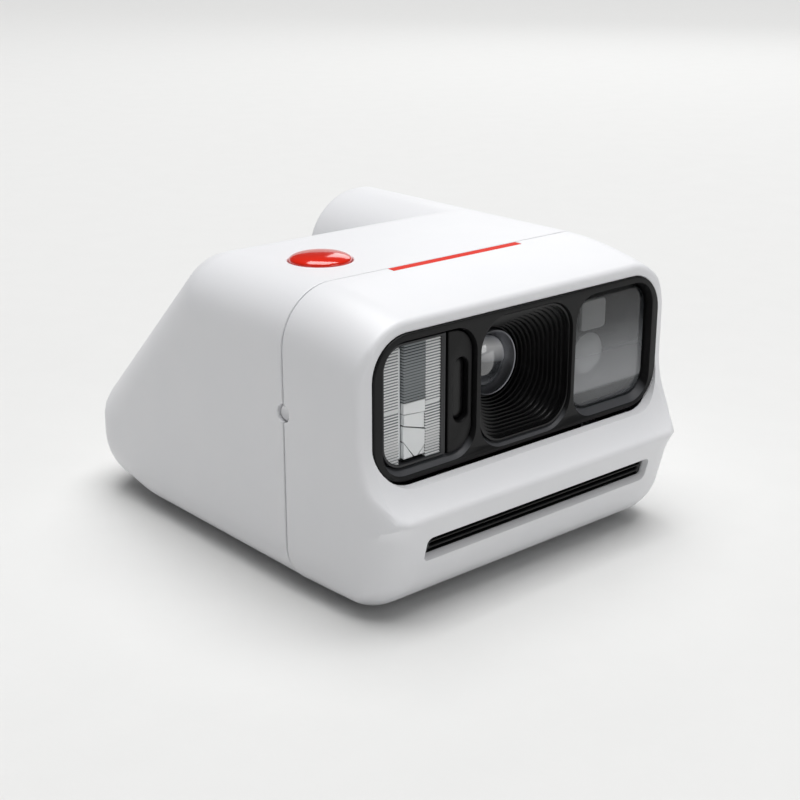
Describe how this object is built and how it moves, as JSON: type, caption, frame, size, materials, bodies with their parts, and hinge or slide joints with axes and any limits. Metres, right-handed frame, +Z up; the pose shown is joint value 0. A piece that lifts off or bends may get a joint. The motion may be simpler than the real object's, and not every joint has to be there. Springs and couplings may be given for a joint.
{
  "type": "instant camera",
  "caption": "Compact instant film camera: nosed front with windowed lens panel and print slot, slanted back, raised viewfinder, film door underneath.",
  "frame": {"origin": "middle of the rectangle the camera covers, on the surface it stands on", "axes": "+Z up, the lens looks along -Y, the viewfinder stands at +X"},
  "size_m": [0.084, 0.1026, 0.0606],
  "materials": {
    "white_shell": "satin white moulded ABS",
    "black_panel": "satin black moulded ABS",
    "dark_inner": "matte black, reflection free",
    "red_button": "polished red-orange",
    "accent_red": "printed plain red",
    "clear_window": "clear moulded acrylic",
    "finder_glass": "half-silvered viewfinder window",
    "lens_glass": "clear moulded lens",
    "silvered": "vacuum-coated reflector",
    "mirror_glass": "front-surface mirror",
    "steel_parts": "plain stamped or turned steel",
    "roller_rubber": "ground rubber sleeve",
    "gear_plastic": "natural acetal",
    "circuit_board": "solder mask green",
    "display_panel": "dark display glass",
    "battery_wrap": "shrink film",
    "capacitor_sleeve": "heat-shrink sleeve"
  },
  "bodies": {
    "camera_body": {"accent_strip": "accent_red", "battery": "battery_wrap", "case_screw_1": "steel_parts", "case_screw_2": "steel_parts", "case_screw_3": "steel_parts", "case_screw_4": "steel_parts", "cell_cover": "black_panel", "chassis": "dark_inner", "counter_display": "display_panel", "counter_window": "clear_window", "dark_box": "dark_inner", "door_hinge_pin": "steel_parts", "drive_motor": "steel_parts", "eyepiece_lens": "lens_glass", "eyepiece_ring": "black_panel", "finder_tunnel": "dark_inner", "finder_window": "finder_glass", "flash_capacitor": "capacitor_sleeve", "flash_reflector": "silvered", "flash_tube": "clear_window", "flash_window": "clear_window", "front_lens": "lens_glass", "front_shell": "white_shell", "idler_pin": "steel_parts", "key_board": "circuit_board", "lens_hood": "black_panel", "lens_panel": "black_panel", "lens_ring": "steel_parts", "light_sensor": "dark_inner", "main_board": "circuit_board", "mirror": "mirror_glass", "print_guide": "black_panel", "rear_lens": "lens_glass", "rear_lens_mount": "dark_inner", "rear_shell": "white_shell", "roller_bracket_left": "steel_parts", "roller_bracket_right": "steel_parts", "roller_spring_left": "steel_parts", "roller_spring_right": "steel_parts", "shutter_motor": "steel_parts", "shutter_plate": "dark_inner", "shutter_switch": "dark_inner", "status_light": "clear_window", "strap_lug_left": "white_shell", "strap_lug_right": "white_shell", "usb_port": "steel_parts"},
    "shutter_key": {"shutter_button": "red_button"},
    "power_key": {"power_button": "black_panel"},
    "flash_key": {"flash_button": "black_panel"},
    "door": {"film_door": "white_shell"},
    "latch": {"door_latch": "black_panel"},
    "lower_roller_set": {"lower_roller": "roller_rubber", "lower_roller_gear": "gear_plastic"},
    "upper_roller_set": {"upper_roller": "steel_parts", "upper_roller_gear": "gear_plastic"},
    "idler": {"idler_gear": "gear_plastic"},
    "pinion": {"motor_pinion": "gear_plastic"},
    "blade_left": {"shutter_blade_left": "dark_inner"},
    "blade_right": {"shutter_blade_right": "dark_inner"},
    "pick": {"film_pick": "steel_parts"}
  },
  "joints": [
    {"name": "shutter_press", "type": "slide", "parent": "camera_body", "child": "shutter_key", "axis": [0, 0, -1], "range_m": [0, 0.0012], "stiffness_N_per_m": 400, "springref_m": -0.001},
    {"name": "power_press", "type": "slide", "parent": "camera_body", "child": "power_key", "axis": [0, -0.6891, -0.7246], "range_m": [0, 0.0008], "stiffness_N_per_m": 400, "springref_m": -0.001},
    {"name": "flash_press", "type": "slide", "parent": "camera_body", "child": "flash_key", "axis": [0, -0.6891, -0.7246], "range_m": [0, 0.0008], "stiffness_N_per_m": 400, "springref_m": -0.001},
    {"name": "film_door_hinge", "type": "hinge", "parent": "camera_body", "child": "door", "pos_m": [0, 0.0352, 0.002], "axis": [1, 0, 0], "range_deg": [0, 88]},
    {"name": "door_latch_slide", "type": "slide", "parent": "camera_body", "child": "latch", "axis": [0, -1, 0], "range_m": [0, 0.003], "stiffness_N_per_m": 150, "springref_m": -0.001},
    {"name": "lower_roller_turn", "type": "hinge", "parent": "camera_body", "child": "lower_roller_set", "pos_m": [0, -0.0406, 0.0111], "axis": [1, 0, 0], "continuous": true},
    {"name": "upper_roller_turn", "type": "hinge", "parent": "camera_body", "child": "upper_roller_set", "pos_m": [0, -0.0406, 0.0189], "axis": [1, 0, 0], "continuous": true},
    {"name": "idler_turn", "type": "hinge", "parent": "camera_body", "child": "idler", "pos_m": [-0.0362, -0.03166, 0.01818], "axis": [1, 0, 0], "continuous": true},
    {"name": "pinion_turn", "type": "hinge", "parent": "camera_body", "child": "pinion", "pos_m": [-0.0362, -0.0284, 0.0244], "axis": [1, 0, 0], "continuous": true},
    {"name": "blade_left_swing", "type": "hinge", "parent": "camera_body", "child": "blade_left", "pos_m": [-0.0064, -0.03075, 0.0338], "axis": [0, -1, 0], "range_deg": [0, 45]},
    {"name": "blade_right_swing", "type": "hinge", "parent": "camera_body", "child": "blade_right", "pos_m": [0.0064, -0.03015, 0.0338], "axis": [0, 1, 0], "range_deg": [0, 45]},
    {"name": "film_pick_slide", "type": "slide", "parent": "camera_body", "child": "pick", "axis": [0, -1, 0], "range_m": [0, 0.005]}
  ],
  "couplings": [
    {"joint": "upper_roller_turn", "follows": "lower_roller_turn", "ratio": -1},
    {"joint": "idler_turn", "follows": "lower_roller_turn", "ratio": 0.76923},
    {"joint": "pinion_turn", "follows": "lower_roller_turn", "ratio": -2},
    {"joint": "blade_right_swing", "follows": "blade_left_swing", "ratio": 1}
  ]
}
